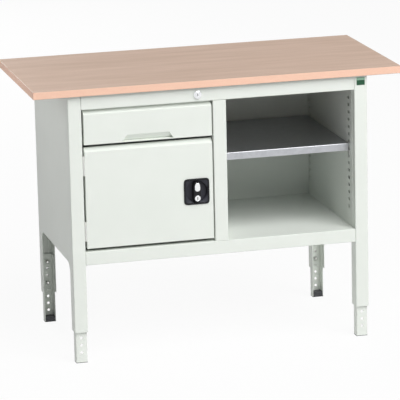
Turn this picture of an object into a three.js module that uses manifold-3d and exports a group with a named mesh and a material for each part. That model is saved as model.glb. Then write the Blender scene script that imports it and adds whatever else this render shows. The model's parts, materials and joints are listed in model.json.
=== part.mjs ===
// Height-adjustable workbench: a plywood top on two folded steel end frames, with a cabinet
// between them that holds a drawer over a hinged door on the left and an open shelf bay on the right.
// Millimetres, +Z up, +X to the right, +Y to the back, origin on the floor under the middle of the top.
import * as THREE from "three";
import { mergeVertices } from "three/addons/utils/BufferGeometryUtils.js";
import Module from "manifold-3d";

const wasm = await Module();
wasm.setup();

// Worktop
const TOP_LENGTH = 1250;
const TOP_DEPTH = 600;
const TOP_THICKNESS = 25;
const BENCH_HEIGHT = 930;

// End frames, each one sheet folded into a side panel with a channel leg at either edge
const FRAME_WIDTH = 1020;
const FRAME_DEPTH = 558;
const FRONT_OVERHANG = 15;
const FRAME_SHEET = 2;
const LEG_FACE = 45;
const LEG_FLANGE = 47;
const LEG_END = 106;
const GUSSET_RADIUS = 35;

// Lower legs, which slide in the end frames' channels
const LEG_TRAVEL = 100;
const LEG_CLEARANCE = 1.2;
const LOWER_LEG_TOP = 238;
const LOWER_LEG_DEPTH = 30;
const LOWER_LEG_SHEET = 2;
const HOLE_RADIUS = 4.5;
const HOLE_PITCH = 25;
const HOLE_COUNT = 8;
const FIRST_HOLE = 36;
const FOOT_BASE = 1.5;
const FOOT_PLUG = 17;

// Leg clamps: a plate with two studs, caught behind two lips inside the channel
const CLAMP_ROWS = [4, 7];
const CLAMP_WIDTH = 21;
const CLAMP_THICKNESS = 2.4;
const CLAMP_END = 12;
const LIP_SHEET = 2;
const LIP_NECK = 13;
const STUD_RADIUS = 4;
const STUD_LENGTH = 17;
const NUT_RADIUS = 7.5;
const NUT_HEIGHT = 6.5;

// Cabinet sheets and rails
const CABINET_SHEET = 1.5;
const RAIL_HEIGHT = 48;
const RAIL_FLANGE = 22;
const BASE_TOP = 379;
const BASE_LIP = 45;
const BASE_RETURN = 20;
const POST_WIDTH = 45;
const BACK_INSET = 20;
const BACK_RETURN = 12;
const LINER_SETBACK = 23;

// Shelf slots, clips and shelf
const SLOT_LENGTH = 18;
const SLOT_HEIGHT = 9;
const SLOT_PITCH = 25;
const SLOT_BOTTOM = 66;
const SLOT_TOP = 35;
const SLOT_FRONT = 60;
const SLOT_REAR = 16;
const SHELF_ROW = 7;
const SHELF_SETBACK = 55;
const SHELF_BACK_GAP = 5;
const SHELF_SIDE_GAP = 1.2;
const SHELF_LIP = 25;
const CLIP_WIDTH = 12;
const CLIP_LEDGE = 12;
const CLIP_RISE = 19;
const CLIP_TAIL = 6;
const CLIP_TONGUE = 8;
const CLIP_HOOK = 3;

// Drawer front and door, both inset pans with a bevelled top edge
const FRONT_GAP = 3.5;
const FRONT_RECESS = 4;
const FRONT_DEPTH = 20;
const BEVEL_HEIGHT = 13;
const BEVEL_DEPTH = 16;
const DRAWER_FRONT_HEIGHT = 115;
const DRAWER_DOOR_GAP = 10;
const DOOR_BASE_GAP = 10;

// Pull pressed into the drawer front's lower edge
const PULL_CENTRE = 216.5;
const PULL_WIDTH = 170;
const PULL_TOP_WIDTH = 140;
const PULL_HEIGHT = 25;
const PULL_DEPTH = 17.5;
const PULL_LIP = 3;

// Drawer box and its telescopic runners
const DRAWER_DEPTH = 485;
const DRAWER_SIDE = 90;
const DRAWER_LIFT = 6;
const RUNNER_SPACE = 13;
const RUNNER_LENGTH = 470;
const RUNNER_HEIGHT = 46;
const RUNNER_SHEET = 1.2;
const RUNNER_PLAY = 0.4;
const RUNNER_LIFT = 31;
const OUTER_FLANGE = 9;
const MIDDLE_FLANGE = 8.6;

// Door hinges
const HINGE_GAP = 7;
const HINGE_HEIGHT = 65;
const HINGE_INSET = 27;
const HINGE_LEAF = 1.2;
const HINGE_LEAF_DEPTH = 16;
const KNUCKLE_RADIUS = 3;
const PIN_RADIUS = 1.1;
const PIN_PLAY = 0.15;
const PIN_HEAD = 1;

// Door stiffener, a top-hat channel on the inside of the door
const STIFFENER_WIDTH = 60;
const STIFFENER_BRIM = 15;
const STIFFENER_DEPTH = 14;
const STIFFENER_END_GAP = 12;

// Door handle: a dished plate, a turning grip with a lock, and a latch cam
const PLATE_WIDTH = 87;
const PLATE_HEIGHT = 88;
const PLATE_CORNER = 10;
const PLATE_PROUD = 3;
const PLATE_INSET = 13.5;
const HANDLE_DROP = 175;
const CUP_RADIUS = 39;
const CUP_DEPTH = 13;
const CUP_WALL = 2;
const GRIP_LENGTH = 68;
const GRIP_WIDTH = 26;
const GRIP_PROUD = 10;
const GRIP_SINK = 5;
const HUB_RADIUS = 12;
const SPINDLE_RADIUS = 5;
const PAD_LENGTH = 30;
const PAD_WIDTH = 19;
const PAD_RISE = 17;
const PAD_THICKNESS = 1.2;
const DOOR_PLUG_RADIUS = 9.8;
const DOOR_PLUG_DEPTH = 14;
const DOOR_PLUG_DROP = 21;
const PLUG_PLAY = 0.2;
const PLUG_PROUD = 1;
const KEYWAY_WIDTH = 2.4;
const KEYWAY_DEPTH = 4;
const LATCH_WIDTH = 16;
const LATCH_SHEET = 3;
const LATCH_BITE = 6;
const LATCH_SCREW_RADIUS = 3;
const LATCH_SCREW_HEAD = 6;
const LATCH_SCREW_HEIGHT = 4;
const LATCH_SCREW_GRIP = 9;
const STRIKE_CLEARANCE = 2;

// Drawer lock in the top rail
const LOCK_INSET = 51.5;
const LOCK_FLANGE_RADIUS = 13.5;
const LOCK_FLANGE = 5;
const BARREL_RADIUS = 10.5;
const BARREL_DEPTH = 27;
const TOP_PLUG_RADIUS = 7.6;
const LOCK_CAM_WIDTH = 10;
const LOCK_CAM_SHEET = 2.5;
const LOCK_CAM_BITE = 8;

// Worktop screws and the blank plate on the right leg
const SCREW_RADIUS = 2.4;
const SCREW_HEAD_RADIUS = 6;
const SCREW_HEAD = 3;
const SCREW_GRIP = 18;
const SCREW_PITCH = 380;
const BADGE_WIDTH = 28;
const BADGE_HEIGHT = 26;
const BADGE_SHEET = 1;
const BADGE_DROP = 20;

// Fits
const SEAT_GAP = 0.3;
const HOLE_PLAY = 0.3;
const SCREW_PLAY = 0.5;
const OVERCUT = 1;
const WELD = 1e-4;
const CURVE_STEPS = 8;
const FINE_SIDES = 40;
const ROUND_SIDES = 20;
const PIN_SIDES = 12;
const NUT_SIDES = 6;

// Places that several pieces share
const underside = BENCH_HEIGHT - TOP_THICKNESS;
const frameTop = underside - SEAT_GAP;
const frontY = FRONT_OVERHANG - TOP_DEPTH / 2;
const rearY = frontY + FRAME_DEPTH;
const outerX = FRAME_WIDTH / 2;
const flangeX = outerX - LEG_FACE;
const railEnd = flangeX - SEAT_GAP;
const linerX = railEnd - CABINET_SHEET;
const postX = POST_WIDTH / 2;
const railBottom = underside - RAIL_HEIGHT;
const baseBottom = BASE_TOP - BASE_LIP;
const backY = rearY - BACK_INSET;
const cabinetRear = backY - SEAT_GAP;
const sheetBottom = BASE_TOP + SEAT_GAP;
const sheetTop = railBottom - SEAT_GAP;

// Solids
const AXIS_X = new THREE.Vector3(1, 0, 0);
const AXIS_Y = new THREE.Vector3(0, 1, 0);
const AXIS_Z = new THREE.Vector3(0, 0, 1);

function solidOf(geometry) {
  const bare = geometry.index ? geometry.toNonIndexed() : geometry.clone();
  bare.deleteAttribute("normal");
  bare.deleteAttribute("uv");
  const merged = mergeVertices(bare, WELD);
  const vertProperties = merged.attributes.position.array;
  const triVerts = new Uint32Array(merged.index.array);
  return new wasm.Manifold(new wasm.Mesh({ numProp: 3, vertProperties, triVerts }));
}

function block([x0, x1], [y0, y1], [z0, z1]) {
  const size = [x1 - x0, y1 - y0, z1 - z0].map(Math.abs);
  const geometry = new THREE.BoxGeometry(...size);
  geometry.translate((x0 + x1) / 2, (y0 + y1) / 2, (z0 + z1) / 2);
  return solidOf(geometry);
}

// A round or many-sided bar along Y, on the line through (x, z).
function bar(radius, [y0, y1], x = 0, z = 0, sides = ROUND_SIDES) {
  const geometry = new THREE.CylinderGeometry(radius, radius, y1 - y0, sides);
  geometry.translate(x, (y0 + y1) / 2, z);
  return solidOf(geometry);
}

// The same, standing along Z on the point (x, y).
function upright(radius, [z0, z1], x = 0, y = 0, sides = PIN_SIDES) {
  const geometry = new THREE.CylinderGeometry(radius, radius, z1 - z0, sides);
  geometry.rotateX(Math.PI / 2);
  geometry.translate(x, y, (z0 + z1) / 2);
  return solidOf(geometry);
}

function outline(points) {
  return new THREE.Shape(points.map(([u, v]) => new THREE.Vector2(u, v)));
}

function extruded(shape, depth, basis) {
  const settings = { depth, bevelEnabled: false, curveSegments: CURVE_STEPS };
  return new THREE.ExtrudeGeometry(shape, settings).applyMatrix4(basis);
}

// An outline in (y, z), run from x0 to x1.
function alongX(shape, [x0, x1]) {
  const basis = new THREE.Matrix4().makeBasis(AXIS_Y, AXIS_Z, AXIS_X);
  return solidOf(extruded(shape, x1 - x0, basis).translate(x0, 0, 0));
}

// An outline in (x, z), run from y0 to y1.
function alongY(shape, [y0, y1]) {
  const basis = new THREE.Matrix4().makeBasis(AXIS_X, AXIS_Z, AXIS_Y.clone().negate());
  return solidOf(extruded(shape, y1 - y0, basis).translate(0, y1, 0));
}

function joined(...solids) {
  return solids.reduce((whole, next) => whole.add(next));
}

function cut(solid, ...tools) {
  return tools.reduce((rest, tool) => rest.subtract(tool), solid);
}

// A rectangle with round corners, or a slot where the corner is half its width, about (0, v).
function roundedRectangle(width, height, corner, v = 0) {
  const x = width / 2;
  const y = height / 2;
  const shape = new THREE.Shape();
  shape.absarc(x - corner, v + y - corner, corner, 0, Math.PI / 2);
  shape.absarc(corner - x, v + y - corner, corner, Math.PI / 2, Math.PI);
  shape.absarc(corner - x, v + corner - y, corner, Math.PI, 1.5 * Math.PI);
  shape.absarc(x - corner, v + corner - y, corner, 1.5 * Math.PI, 2 * Math.PI);
  return shape;
}

// Finishes
const finish = (color, roughness, metalness) => () =>
  new THREE.MeshStandardMaterial({ color, roughness, metalness });
const powderCoat = finish(0xe8ede6, 0.5, 0.0);
const plywood = finish(0xc8b0a0, 0.55, 0.0);
const galvanised = finish(0xb9bec4, 0.35, 1.0);
const zincPlate = finish(0xc9ccd0, 0.3, 1.0);
const chrome = finish(0xe6e8ea, 0.12, 1.0);
const blackPlastic = finish(0x1d1e20, 0.5, 0.0);
const badgeGreen = finish(0x5f8a3c, 0.5, 0.0);

function add(group, name, solid, material) {
  const { vertProperties, triVerts } = solid.getMesh();
  const geometry = new THREE.BufferGeometry();
  geometry.setAttribute("position", new THREE.BufferAttribute(vertProperties, 3));
  geometry.setIndex(new THREE.BufferAttribute(triVerts, 1));
  geometry.computeVertexNormals();
  const mesh = new THREE.Mesh(geometry, material());
  mesh.name = name;
  group.add(mesh);
  return mesh;
}

function groupAt(parent, x, y, z, turn = 0) {
  const group = new THREE.Group();
  group.position.set(x, y, z);
  group.rotation.z = turn;
  parent.add(group);
  return group;
}

const bench = new THREE.Group();

// Worktop, screwed up from below through the rails' top flanges
const screwSpots = [frontY + RAIL_FLANGE / 2, rearY - RAIL_FLANGE / 2].flatMap((y) =>
  [-SCREW_PITCH, 0, SCREW_PITCH].map((x) => [x, y]),
);
const screwTip = underside + SCREW_GRIP;
const topSlab = block(
  [-TOP_LENGTH / 2, TOP_LENGTH / 2],
  [-TOP_DEPTH / 2, TOP_DEPTH / 2],
  [underside, BENCH_HEIGHT],
);
const pilotHoles = screwSpots.map(([x, y]) =>
  upright(SCREW_RADIUS + HOLE_PLAY, [underside - OVERCUT, screwTip + SEAT_GAP], x, y),
);
add(bench, "worktop", cut(topSlab, ...pilotHoles), plywood);

const flangeUnder = frameTop - CABINET_SHEET;
const screwHeadTop = flangeUnder - SEAT_GAP;
screwSpots.forEach(([x, y], i) => {
  const head = upright(SCREW_HEAD_RADIUS, [screwHeadTop - SCREW_HEAD, screwHeadTop], x, y);
  const shank = upright(SCREW_RADIUS, [screwHeadTop - OVERCUT, screwTip], x, y);
  add(bench, `worktop_screw_${i + 1}`, joined(head, shank), zincPlate);
});

// Places inside a leg, counted inwards from the channel's web
const lipBack = SEAT_GAP + CLAMP_THICKNESS + SEAT_GAP;
const lipFront = lipBack + LIP_SHEET;
const legFaceIn = lipFront + SEAT_GAP;
const holeHeights = Array.from({ length: HOLE_COUNT }, (_, i) => FIRST_HOLE + i * HOLE_PITCH);
const studHeights = CLAMP_ROWS.map((row) => holeHeights[row]);
const clampBottom = studHeights[0] - CLAMP_END;
const clampTop = studHeights[1] + CLAMP_END;

// The pair of lips that catch a clamp plate, across a web whose inner face is at y and which opens
// towards the side that inward points to
function clampLips(centreX, y, inward) {
  const wall = CLAMP_WIDTH / 2 + SEAT_GAP;
  const span = [LEG_END, clampTop + LEG_TRAVEL + SEAT_GAP];
  return [-1, 1].map((hand) => {
    const edge = centreX + hand * (wall + LIP_SHEET);
    const side = block([centreX + hand * wall, edge], [y, y + inward * lipFront], span);
    const neck = centreX + (hand * LIP_NECK) / 2;
    const lip = block([neck, edge], [y + inward * lipBack, y + inward * lipFront], span);
    return side.add(lip);
  });
}

// Rows of shelf slots, punched alike through the side liners, the rear legs' returns behind them and
// the centre partition
const slotColumns = [frontY + SLOT_FRONT, backY - SLOT_REAR];
const firstSlot = BASE_TOP + SLOT_BOTTOM;
const slotRows = Math.floor((railBottom - SLOT_TOP - firstSlot) / SLOT_PITCH) + 1;

function shelfSlots(x) {
  const slots = [];
  for (const y of slotColumns) {
    for (let row = 0; row < slotRows; row += 1) {
      const z = firstSlot + row * SLOT_PITCH;
      const length = [y - SLOT_LENGTH / 2, y + SLOT_LENGTH / 2];
      slots.push(block(x, length, [z - SLOT_HEIGHT / 2, z + SLOT_HEIGHT / 2]));
    }
  }
  return slots;
}

function endFrame(hand) {
  const legBack = frontY + LEG_FLANGE;
  const rearLegFront = rearY - LEG_FLANGE;
  const side = new THREE.Shape();
  side.moveTo(frontY, LEG_END);
  side.lineTo(legBack, LEG_END);
  side.lineTo(legBack, baseBottom - GUSSET_RADIUS);
  side.absarc(legBack + GUSSET_RADIUS, baseBottom - GUSSET_RADIUS, GUSSET_RADIUS, Math.PI, Math.PI / 2, true);
  side.absarc(rearLegFront - GUSSET_RADIUS, baseBottom - GUSSET_RADIUS, GUSSET_RADIUS, Math.PI / 2, 0, true);
  side.lineTo(rearLegFront, LEG_END);
  side.lineTo(rearY, LEG_END);
  side.lineTo(rearY, frameTop);
  side.lineTo(frontY, frameTop);
  const panelX = [hand * outerX, hand * (outerX - FRAME_SHEET)].sort((a, b) => a - b);
  const webX = [hand * flangeX, hand * outerX];
  const returnX = [hand * flangeX, hand * (flangeX + FRAME_SHEET)];
  const height = [LEG_END, frameTop];
  const centre = hand * (outerX - LEG_FACE / 2);
  const folded = joined(
    alongX(side, panelX),
    block(webX, [frontY, frontY + FRAME_SHEET], height),
    block(webX, [rearY - FRAME_SHEET, rearY], height),
    block(returnX, [frontY, legBack], height),
    block(returnX, [rearLegFront, rearY], height),
    ...clampLips(centre, frontY + FRAME_SHEET, 1),
    ...clampLips(centre, rearY - FRAME_SHEET, -1),
  );
  return cut(folded, ...shelfSlots([hand * (flangeX - OVERCUT), hand * (flangeX + FRAME_SHEET + OVERCUT)]));
}
add(bench, "end_frame_left", endFrame(-1), powderCoat);
add(bench, "end_frame_right", endFrame(1), powderCoat);

// Lower legs, built about the middle of the channel's web, with y inwards
const lowerLegHalf = LEG_FACE / 2 - FRAME_SHEET - LEG_CLEARANCE;
const legRear = legFaceIn + LOWER_LEG_DEPTH;
const legWebBack = legFaceIn + LOWER_LEG_SHEET;
const legInside = lowerLegHalf - LOWER_LEG_SHEET;

function lowerLeg() {
  const across = [-lowerLegHalf, lowerLegHalf];
  const height = [FOOT_BASE + SEAT_GAP, LOWER_LEG_TOP];
  const channel = cut(
    block(across, [legFaceIn, legRear], height),
    block([-legInside, legInside], [legWebBack, legRear + OVERCUT], [0, LOWER_LEG_TOP + OVERCUT]),
  );
  const holes = holeHeights.map((z) =>
    bar(HOLE_RADIUS, [legFaceIn - OVERCUT, legWebBack + OVERCUT], 0, z, PIN_SIDES),
  );
  return cut(channel, ...holes);
}

function foot() {
  const plug = legInside - SEAT_GAP;
  return joined(
    block([-lowerLegHalf, lowerLegHalf], [legFaceIn, legRear], [0, FOOT_BASE]),
    block([-plug, plug], [legWebBack + SEAT_GAP, legRear], [FOOT_BASE - OVERCUT, FOOT_BASE + FOOT_PLUG]),
  );
}

function legClamp() {
  const half = CLAMP_WIDTH / 2;
  const plateFront = SEAT_GAP;
  const plateBack = plateFront + CLAMP_THICKNESS;
  const nutFront = legWebBack + SEAT_GAP;
  const plate = block([-half, half], [plateFront, plateBack], [clampBottom, clampTop]);
  const studs = studHeights.flatMap((z) => [
    bar(STUD_RADIUS, [plateFront, plateFront + STUD_LENGTH], 0, z, PIN_SIDES),
    bar(NUT_RADIUS, [nutFront, nutFront + NUT_HEIGHT], 0, z, NUT_SIDES),
  ]);
  return joined(plate, ...studs);
}

const legX = outerX - LEG_FACE / 2;
const corners = [
  ["front_left", -legX, frontY + FRAME_SHEET, 0],
  ["front_right", legX, frontY + FRAME_SHEET, 0],
  ["rear_left", -legX, rearY - FRAME_SHEET, Math.PI],
  ["rear_right", legX, rearY - FRAME_SHEET, Math.PI],
];
for (const [corner, x, y, turn] of corners) {
  const leg = groupAt(bench, x, y, 0, turn);
  add(leg, `lower_leg_${corner}`, lowerLeg(), powderCoat);
  add(leg, `foot_${corner}`, foot(), blackPlastic);
  add(leg, `leg_clamp_${corner}`, legClamp(), zincPlate);
}

// Place of the drawer lock in the top rail, and of its cam, which drops behind the drawer front
const lockX = -postX - LOCK_INSET;
const lockZ = (railBottom + frameTop) / 2;
const drawerTop = railBottom - FRONT_GAP;
const lockCamReach = lockZ - drawerTop + CABINET_SHEET + LOCK_CAM_BITE;
const lockCamFront = BARREL_DEPTH + SEAT_GAP;
const lockCamBack = lockCamFront + LOCK_CAM_SHEET;

// Top rails, channels that open inwards, between the legs
function topRail() {
  const rise = frameTop - railBottom;
  const t = CABINET_SHEET;
  const section = outline([
    [0, 0],
    [RAIL_FLANGE, 0],
    [RAIL_FLANGE, t],
    [t, t],
    [t, rise - t],
    [RAIL_FLANGE, rise - t],
    [RAIL_FLANGE, rise],
    [0, rise],
  ]);
  const holes = [-SCREW_PITCH, 0, SCREW_PITCH].map((x) =>
    upright(SCREW_RADIUS + SCREW_PLAY, [rise - t - OVERCUT, rise + OVERCUT], x, RAIL_FLANGE / 2),
  );
  return cut(alongX(section, [-railEnd, railEnd]), ...holes);
}
const frontRail = cut(
  topRail(),
  bar(BARREL_RADIUS + HOLE_PLAY, [-OVERCUT, CABINET_SHEET + OVERCUT], lockX, lockZ - railBottom),
);
add(groupAt(bench, 0, frontY, railBottom), "front_top_rail", frontRail, powderCoat);
add(groupAt(bench, 0, rearY, railBottom, Math.PI), "rear_top_rail", topRail(), powderCoat);

// Base pan, an upturned tray whose deep front lip shows under the door
const panInside = railEnd - CABINET_SHEET;
const basePan = cut(
  block([-railEnd, railEnd], [frontY, cabinetRear], [baseBottom, BASE_TOP]),
  block(
    [-panInside, panInside],
    [frontY + CABINET_SHEET, cabinetRear - CABINET_SHEET],
    [baseBottom - OVERCUT, BASE_TOP - CABINET_SHEET],
  ),
);
const baseReturn = block(
  [-railEnd, railEnd],
  [frontY, frontY + BASE_RETURN],
  [baseBottom, baseBottom + CABINET_SHEET],
);
add(bench, "base_pan", joined(basePan, baseReturn), powderCoat);

// Back panel, with its edges folded back along the rear legs
const backPanel = cut(
  block([-railEnd, railEnd], [backY, backY + CABINET_SHEET + BACK_RETURN], [baseBottom, sheetTop]),
  block(
    [-panInside, panInside],
    [backY + CABINET_SHEET, rearY],
    [baseBottom + CABINET_SHEET, sheetTop - CABINET_SHEET],
  ),
);
add(bench, "back_panel", backPanel, powderCoat);

function sideLiner(hand) {
  const sheet = block(
    [hand * linerX, hand * railEnd],
    [frontY + LINER_SETBACK, cabinetRear],
    [sheetBottom, sheetTop],
  );
  return cut(sheet, ...shelfSlots([hand * (linerX - OVERCUT), hand * (railEnd + OVERCUT)]));
}
add(bench, "side_liner_left", sideLiner(-1), powderCoat);
add(bench, "side_liner_right", sideLiner(1), powderCoat);

// Places of the door, its handle and its latch
const frontFace = frontY + FRONT_RECESS;
const doorLeft = -flangeX + HINGE_GAP;
const doorRight = -postX - FRONT_GAP;
const doorBottom = BASE_TOP + DOOR_BASE_GAP;
const drawerBottom = drawerTop - DRAWER_FRONT_HEIGHT;
const doorTop = drawerBottom - DRAWER_DOOR_GAP;
const doorWidth = doorRight - doorLeft;
const doorHeight = doorTop - doorBottom;
const handleX = doorWidth - PLATE_INSET - PLATE_WIDTH / 2;
const handleZ = doorHeight - HANDLE_DROP;
const postDistance = -postX - doorLeft - handleX;
const latchReach = postDistance + LATCH_BITE;
const latchSweep = Math.sqrt(latchReach ** 2 + (LATCH_WIDTH / 2) ** 2 - postDistance ** 2);
const latchFront = FRONT_DEPTH + STRIKE_CLEARANCE + SEAT_GAP;
const latchBack = latchFront + LATCH_SHEET;

// Centre partition, one sheet folded round the post's face, with the strike slot for the latch
const partitionSpan = [sheetBottom, sheetTop];
const partitionShell = cut(
  block([-postX, postX], [frontY, cabinetRear], partitionSpan),
  block(
    [CABINET_SHEET - postX, postX - CABINET_SHEET],
    [frontY + CABINET_SHEET, rearY],
    [sheetBottom - OVERCUT, sheetTop + OVERCUT],
  ),
);
const strikeSlot = block(
  [-postX - OVERCUT, CABINET_SHEET - postX + OVERCUT],
  [frontFace + latchFront - STRIKE_CLEARANCE, frontFace + latchBack + STRIKE_CLEARANCE],
  [
    doorBottom + handleZ - LATCH_WIDTH / 2 - STRIKE_CLEARANCE,
    doorBottom + handleZ + latchSweep + STRIKE_CLEARANCE,
  ],
);
const partition = cut(partitionShell, strikeSlot, ...shelfSlots([-postX - OVERCUT, postX + OVERCUT]));
add(bench, "centre_partition", partition, powderCoat);

// Shelf clips, hooked through a slot, and the loose shelf that rests on their ledges
const shelfBottom = firstSlot + SHELF_ROW * SLOT_PITCH + CLIP_RISE;

function shelfClip() {
  const half = CLIP_WIDTH / 2;
  const tongue = CLIP_TONGUE / 2;
  const top = CLIP_RISE - SEAT_GAP;
  const hookHalf = CABINET_SHEET;
  const hookBack = -CABINET_SHEET - CLIP_HOOK;
  return joined(
    block([SEAT_GAP, SEAT_GAP + CABINET_SHEET], [-half, half], [-CLIP_TAIL, top]),
    block([SEAT_GAP, CLIP_LEDGE], [-half, half], [top - CABINET_SHEET, top]),
    block([hookBack, SEAT_GAP + CABINET_SHEET], [-tongue, tongue], [-hookHalf, hookHalf]),
  );
}
const clipPlaces = [
  ["front_left", postX, slotColumns[0], 0],
  ["front_right", linerX, slotColumns[0], Math.PI],
  ["rear_left", postX, slotColumns[1], 0],
  ["rear_right", linerX, slotColumns[1], Math.PI],
];
for (const [place, x, y, turn] of clipPlaces) {
  const clip = groupAt(bench, x, y, shelfBottom - CLIP_RISE, turn);
  add(clip, `shelf_clip_${place}`, shelfClip(), zincPlate);
}

const shelfX = [postX + SHELF_SIDE_GAP, linerX - SHELF_SIDE_GAP];
const shelfY = [frontY + SHELF_SETBACK, backY - SHELF_BACK_GAP];
const shelfTop = shelfBottom + SHELF_LIP;
const shelf = cut(
  block(shelfX, shelfY, [shelfBottom, shelfTop]),
  block(
    [shelfX[0] + CABINET_SHEET, shelfX[1] - CABINET_SHEET],
    [shelfY[0] + CABINET_SHEET, shelfY[1] - CABINET_SHEET],
    [shelfBottom - OVERCUT, shelfTop - CABINET_SHEET],
  ),
);
add(bench, "mid_shelf", shelf, galvanised);

// A front folded from one sheet, open at the back, built from its lower left front corner
function frontPan(width, height) {
  const t = CABINET_SHEET;
  const outer = outline([
    [0, 0],
    [FRONT_DEPTH, 0],
    [FRONT_DEPTH, height],
    [BEVEL_DEPTH, height],
    [0, height - BEVEL_HEIGHT],
  ]);
  const inner = outline([
    [t, t],
    [FRONT_DEPTH + OVERCUT, t],
    [FRONT_DEPTH + OVERCUT, height - t],
    [BEVEL_DEPTH + t, height - t],
    [t, height - BEVEL_HEIGHT - t],
  ]);
  return cut(alongX(outer, [0, width]), alongX(inner, [t, width - t]));
}

// The pull: a pocket that slopes back from the face down to a lip along the lower edge. Grown by a
// wall, the same form is the pressed sheet round the pocket.
function pullWedge(wall) {
  const rise = PULL_LIP - wall;
  const slope = outline([
    [-OVERCUT, rise],
    [PULL_DEPTH + wall, rise],
    [wall, PULL_HEIGHT + wall],
    [-OVERCUT, PULL_HEIGHT + wall],
  ]);
  const half = PULL_WIDTH / 2 + wall;
  const topHalf = PULL_TOP_WIDTH / 2 + wall;
  const face = outline([
    [-half, rise],
    [half, rise],
    [topHalf, PULL_HEIGHT + wall],
    [-topHalf, PULL_HEIGHT + wall],
  ]);
  const depth = alongY(face, [wall ? 0 : -OVERCUT, FRONT_DEPTH]);
  return alongX(slope, [-PULL_WIDTH, PULL_WIDTH]).intersect(depth);
}

// Drawer front, as wide as the door below it, with its box and runners
const pullX = doorWidth - PULL_CENTRE;
const drawerFront = cut(
  joined(frontPan(doorWidth, DRAWER_FRONT_HEIGHT), pullWedge(CABINET_SHEET).translate(pullX, 0, 0)),
  pullWedge(0).translate(pullX, 0, 0),
);
const drawer = groupAt(bench, doorLeft, frontFace, drawerBottom);
add(drawer, "drawer_front", drawerFront, powderCoat);

const boxX = [RUNNER_SPACE - linerX, -postX - RUNNER_SPACE];
const boxFront = frontFace + FRONT_DEPTH + SEAT_GAP;
const boxY = [boxFront, boxFront + DRAWER_DEPTH];
const boxZ = [drawerBottom + DRAWER_LIFT, drawerBottom + DRAWER_LIFT + DRAWER_SIDE];
const drawerBox = cut(
  block(boxX, boxY, boxZ),
  block(
    [boxX[0] + CABINET_SHEET, boxX[1] - CABINET_SHEET],
    [boxY[0] + CABINET_SHEET, boxY[1] - CABINET_SHEET],
    [boxZ[0] + CABINET_SHEET, boxZ[1] + OVERCUT],
  ),
);
add(bench, "drawer_box", drawerBox, powderCoat);

// A runner member is a channel along Y, with x counted from the wall towards the drawer
function runnerMember(height, web, lip) {
  const half = height / 2;
  const lipZ = half - RUNNER_SHEET;
  const along = [-RUNNER_LENGTH / 2, RUNNER_LENGTH / 2];
  const webX = [web, web + Math.sign(lip) * RUNNER_SHEET];
  return joined(
    block(webX, along, [-half, half]),
    block([web, web + lip], along, [lipZ, half]),
    block([web, web + lip], along, [-half, -lipZ]),
  );
}
const memberStep = 2 * (RUNNER_SHEET + RUNNER_PLAY);
const middleHeight = RUNNER_HEIGHT - memberStep;
const innerHeight = middleHeight - memberStep;
const middleWeb = SEAT_GAP + RUNNER_SHEET + RUNNER_PLAY;
const innerWeb = RUNNER_SPACE - SEAT_GAP;
const innerFlange = middleWeb + RUNNER_SHEET + RUNNER_PLAY - innerWeb;
const runnerY = boxFront + RUNNER_LENGTH / 2;
const runnerZ = drawerBottom + RUNNER_LIFT;
const runnerPlaces = [
  ["left", -linerX, 0],
  ["right", -postX, Math.PI],
];
for (const [side, x, turn] of runnerPlaces) {
  const runner = groupAt(bench, x, runnerY, runnerZ, turn);
  add(runner, `runner_outer_${side}`, runnerMember(RUNNER_HEIGHT, SEAT_GAP, OUTER_FLANGE), zincPlate);
  add(runner, `runner_middle_${side}`, runnerMember(middleHeight, middleWeb, MIDDLE_FLANGE), zincPlate);
  add(runner, `runner_inner_${side}`, runnerMember(innerHeight, innerWeb, innerFlange), zincPlate);
}

// Door panel and its stiffener
const door = groupAt(bench, doorLeft, frontFace, doorBottom);
const skinCut = [-OVERCUT, CABINET_SHEET + OVERCUT];
const handleHole = bar(CUP_RADIUS + HOLE_PLAY, skinCut, handleX, handleZ, FINE_SIDES);
add(door, "door_panel", cut(frontPan(doorWidth, doorHeight), handleHole), powderCoat);

function doorStiffener() {
  const t = CABINET_SHEET;
  const half = STIFFENER_WIDTH / 2;
  const brim = half + STIFFENER_BRIM;
  const face = CABINET_SHEET + SEAT_GAP;
  const height = [STIFFENER_END_GAP, doorHeight - BEVEL_HEIGHT - STIFFENER_END_GAP];
  const hat = cut(
    block([-half, half], [face, face + STIFFENER_DEPTH], height),
    block([t - half, half - t], [face - OVERCUT, face + STIFFENER_DEPTH - t], [0, doorHeight]),
  );
  return joined(
    hat,
    block([-brim, t - half], [face, face + t], height),
    block([half - t, brim], [face, face + t], height),
  );
}
add(groupAt(door, doorWidth / 2, 0, 0), "door_stiffener", doorStiffener(), powderCoat);

// Hinges, built about the pin: the frame's leaf holds the outer knuckles, the door's the middle one
const leafIn = HINGE_GAP / 2 - SEAT_GAP;
const leafStart = KNUCKLE_RADIUS + SEAT_GAP + PIN_PLAY;

function hingeLeaf(hand, spans) {
  const plateX = [hand * leafIn, hand * (leafIn - HINGE_LEAF)];
  const plate = block(plateX, [leafStart, leafStart + HINGE_LEAF_DEPTH], [0, HINGE_HEIGHT]);
  const knuckles = spans.flatMap((span) => [
    upright(KNUCKLE_RADIUS, span),
    block(plateX, [0, leafStart + OVERCUT], span),
  ]);
  const bore = upright(PIN_RADIUS + PIN_PLAY, [-OVERCUT, HINGE_HEIGHT + OVERCUT]);
  return cut(joined(plate, ...knuckles), bore);
}

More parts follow.
